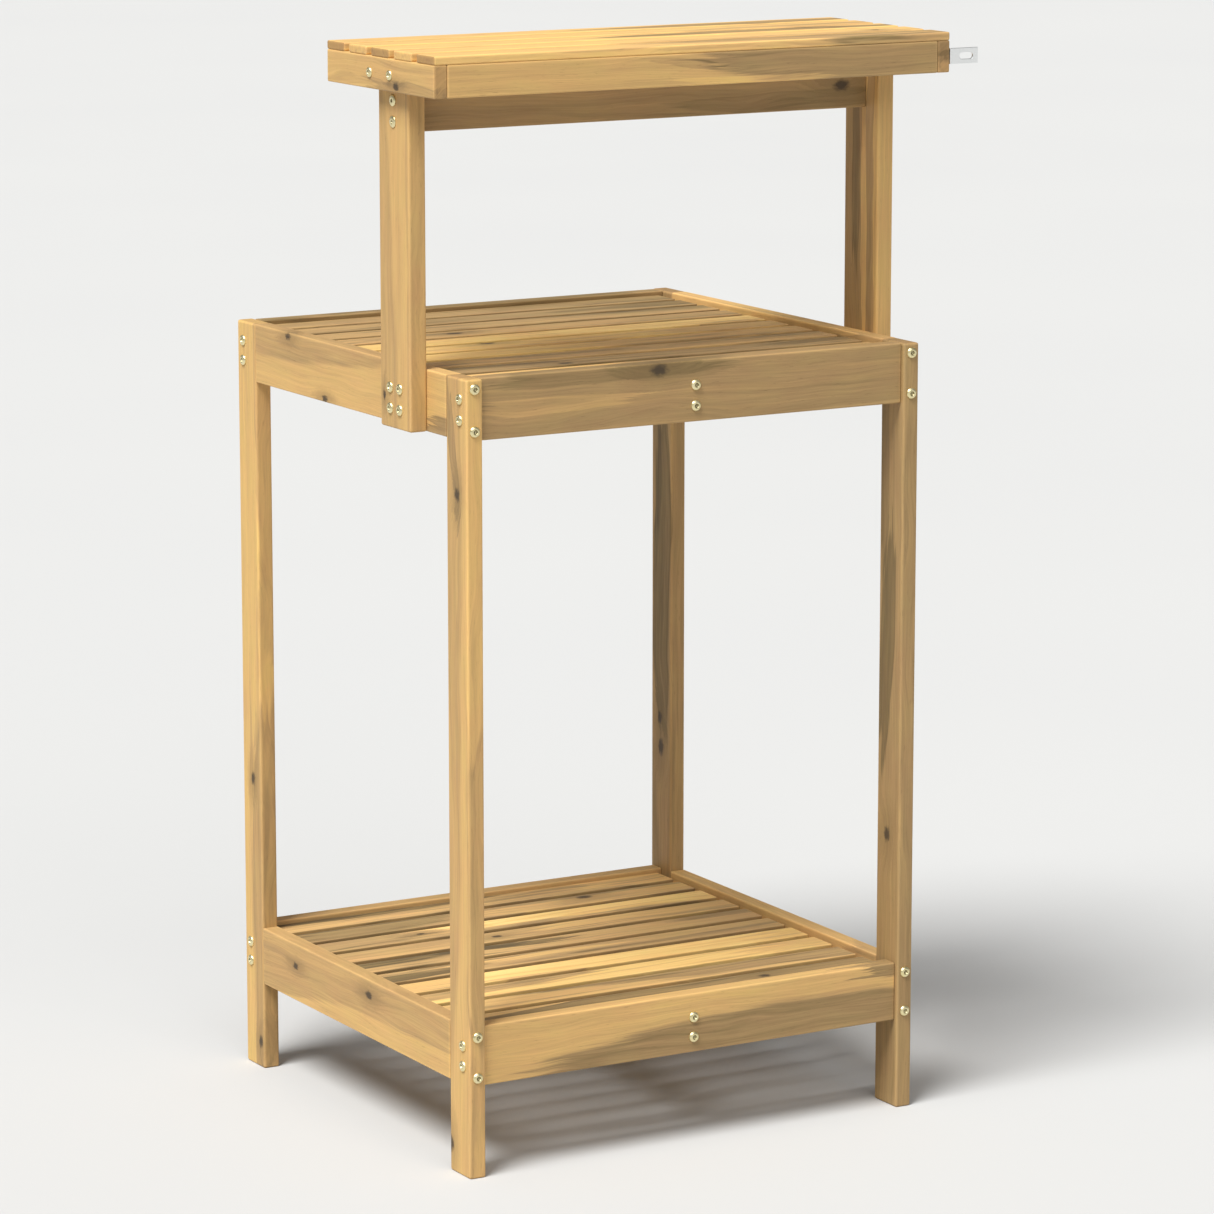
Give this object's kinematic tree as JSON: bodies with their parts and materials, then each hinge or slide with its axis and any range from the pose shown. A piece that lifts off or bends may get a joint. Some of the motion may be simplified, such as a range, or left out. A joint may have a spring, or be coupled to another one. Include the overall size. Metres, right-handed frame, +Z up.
{
  "type": "potting bench",
  "caption": "Slatted hardwood potting bench with a lower shelf, and a raised slatted shelf on two posts over the back of the table.",
  "frame": {"origin": "on the floor, at the centre of the whole bench's outline with its bolt heads and its wall bracket", "axes": "+Z up, +X to the right along the bench's width, +Y from the wall side to the working side"},
  "size_m": [0.6622, 0.5386, 1.181],
  "materials": {
    "frame_wood": "oiled hardwood, eased edges",
    "slat_wood": "oiled hardwood, eased edges",
    "zinc_bolt": "yellow zinc plated",
    "bracket_steel": "bright zinc plated"
  },
  "bodies": {
    "root": {"bracket_screw": "bracket_steel", "crossbar": "frame_wood", "leg_back_left": "frame_wood", "leg_back_right": "frame_wood", "leg_bolt_back_lower": "zinc_bolt", "leg_bolt_back_upper": "zinc_bolt", "leg_bolt_front_lower": "zinc_bolt", "leg_bolt_front_upper": "zinc_bolt", "leg_front_left": "frame_wood", "leg_front_right": "frame_wood", "lower_apron_back": "frame_wood", "lower_apron_front": "frame_wood", "lower_bearer": "frame_wood", "lower_cleat_left": "frame_wood", "lower_cleat_right": "frame_wood", "lower_side_rail_left": "frame_wood", "lower_side_rail_right": "frame_wood", "lower_slat_1": "slat_wood", "lower_slat_10": "slat_wood", "lower_slat_2": "slat_wood", "lower_slat_3": "slat_wood", "lower_slat_4": "slat_wood", "lower_slat_5": "slat_wood", "lower_slat_6": "slat_wood", "lower_slat_7": "slat_wood", "lower_slat_8": "slat_wood", "lower_slat_9": "slat_wood", "post_left": "frame_wood", "post_right": "frame_wood", "shelf_bolt_left_back": "zinc_bolt", "shelf_bolt_left_front": "zinc_bolt", "shelf_bolt_right_back": "zinc_bolt", "shelf_bolt_right_front": "zinc_bolt", "shelf_end_rail_left": "frame_wood", "shelf_end_rail_right": "frame_wood", "shelf_long_rail_back": "frame_wood", "shelf_long_rail_front": "frame_wood", "shelf_slat_1": "slat_wood", "shelf_slat_2": "slat_wood", "shelf_slat_3": "slat_wood", "shelf_slat_4": "slat_wood", "shelf_slat_5": "slat_wood", "table_apron_back": "frame_wood", "table_apron_front": "frame_wood", "table_bearer": "frame_wood", "table_cleat_left": "frame_wood", "table_cleat_right": "frame_wood", "table_side_rail_left": "frame_wood", "table_side_rail_right": "frame_wood", "table_slat_1": "slat_wood", "table_slat_10": "slat_wood", "table_slat_2": "slat_wood", "table_slat_3": "slat_wood", "table_slat_4": "slat_wood", "table_slat_5": "slat_wood", "table_slat_6": "slat_wood", "table_slat_7": "slat_wood", "table_slat_8": "slat_wood", "table_slat_9": "slat_wood", "wall_bracket": "bracket_steel"}
  },
  "joints": []
}
